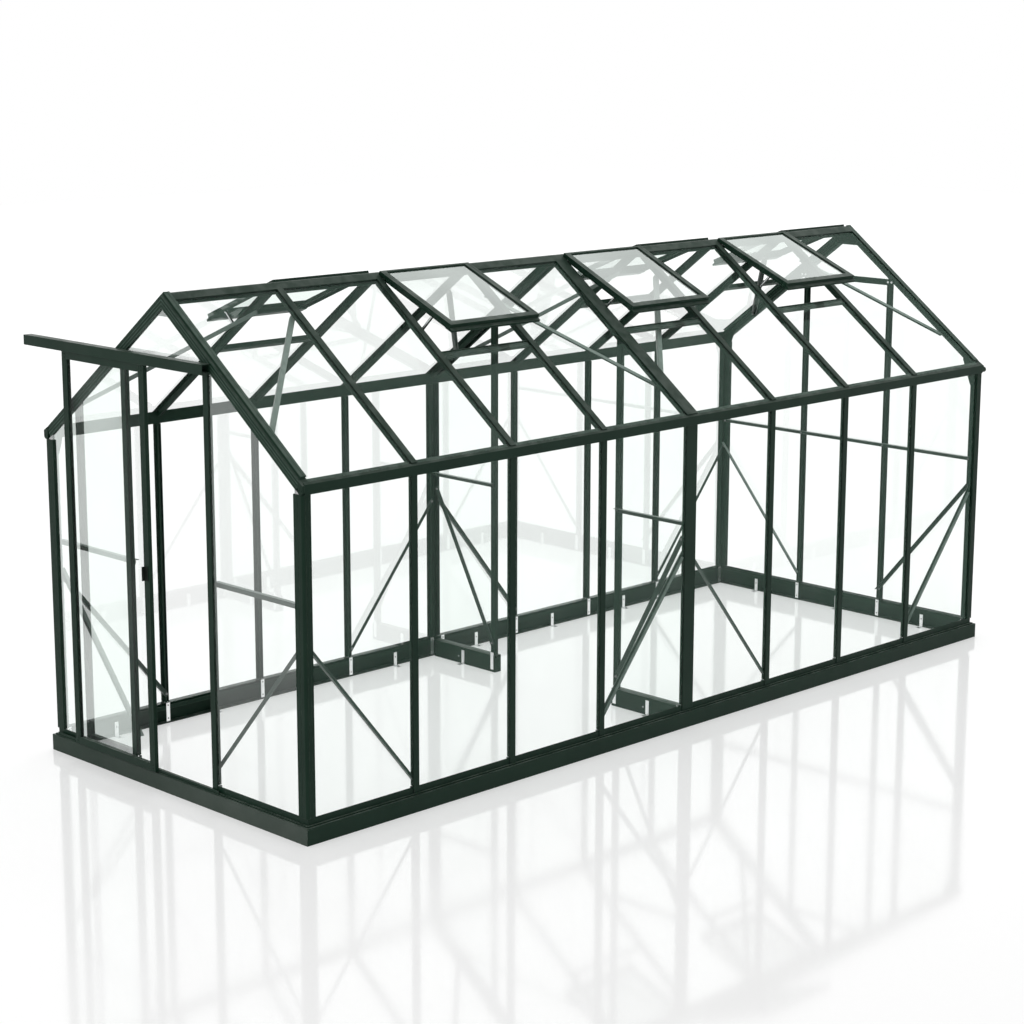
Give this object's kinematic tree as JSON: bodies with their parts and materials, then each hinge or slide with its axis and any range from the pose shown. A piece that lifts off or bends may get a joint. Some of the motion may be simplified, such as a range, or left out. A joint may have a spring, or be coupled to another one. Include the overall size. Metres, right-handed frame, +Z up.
{
  "type": "polycarbonate greenhouse",
  "caption": "Walk-in greenhouse with a dark green aluminium frame on a folded base, clear panes, a top-hung sliding door, open roof vents and diagonal braces.",
  "frame": {"origin": "middle of the underside of the base rail at the door end, on the frame line of the door gable", "axes": "+Y from the door gable to the rear gable, +Z up, +X to the right of someone inside who looks from the door to the rear"},
  "size_m": [2, 5.0673, 2.3209],
  "materials": {
    "green_frame": "satin dark green powder coat",
    "bare_metal": "bare, brushed",
    "clear_pane": "clear smooth polycarbonate",
    "black_plastic": "matt"
  },
  "bodies": {
    "frame": {"base_front": "green_frame", "base_rear": "green_frame", "base_left": "green_frame", "base_right": "green_frame", "base_partition": "green_frame", "side_sills": "green_frame", "gable_sills": "green_frame", "partition_sills": "green_frame", "foot_plates": "bare_metal", "ground_anchors": "bare_metal", "corner_posts": "green_frame", "middle_posts": "green_frame", "wall_bars_left": "green_frame", "wall_bars_right": "green_frame", "door_posts": "green_frame", "rear_gable_bars": "green_frame", "partition_posts": "green_frame", "eave_left": "green_frame", "eave_right": "green_frame", "eave_caps": "green_frame", "ridge": "green_frame", "ridge_gussets": "green_frame", "eave_gussets": "green_frame", "corner_cleats": "bare_metal", "gable_rafters": "green_frame", "middle_rafters": "green_frame", "roof_bars_left": "green_frame", "roof_bars_right": "green_frame", "gable_rails": "green_frame", "gable_collars": "green_frame", "partition_rails": "green_frame", "wall_braces": "green_frame", "gable_braces": "green_frame", "partition_braces": "green_frame", "roof_braces": "green_frame", "vent_sills": "green_frame", "vent_sashes": "green_frame", "vent_panes": "clear_pane", "vent_openers": "black_plastic", "panes_left": "clear_pane", "panes_right": "clear_pane", "panes_roof_left": "clear_pane", "panes_roof_right": "clear_pane", "panes_front": "clear_pane", "panes_rear": "clear_pane", "panes_partition": "clear_pane", "door_header": "green_frame", "door_track": "green_frame", "door_guide": "green_frame"},
    "door": {"door_stiles": "green_frame", "door_rails": "green_frame", "door_pane": "clear_pane", "door_hangers": "black_plastic", "door_handle": "black_plastic"}
  },
  "joints": [
    {"name": "door_slide", "type": "slide", "parent": "frame", "child": "door", "axis": [1, 0, 0], "range_m": [-0.17, 0.423]}
  ]
}
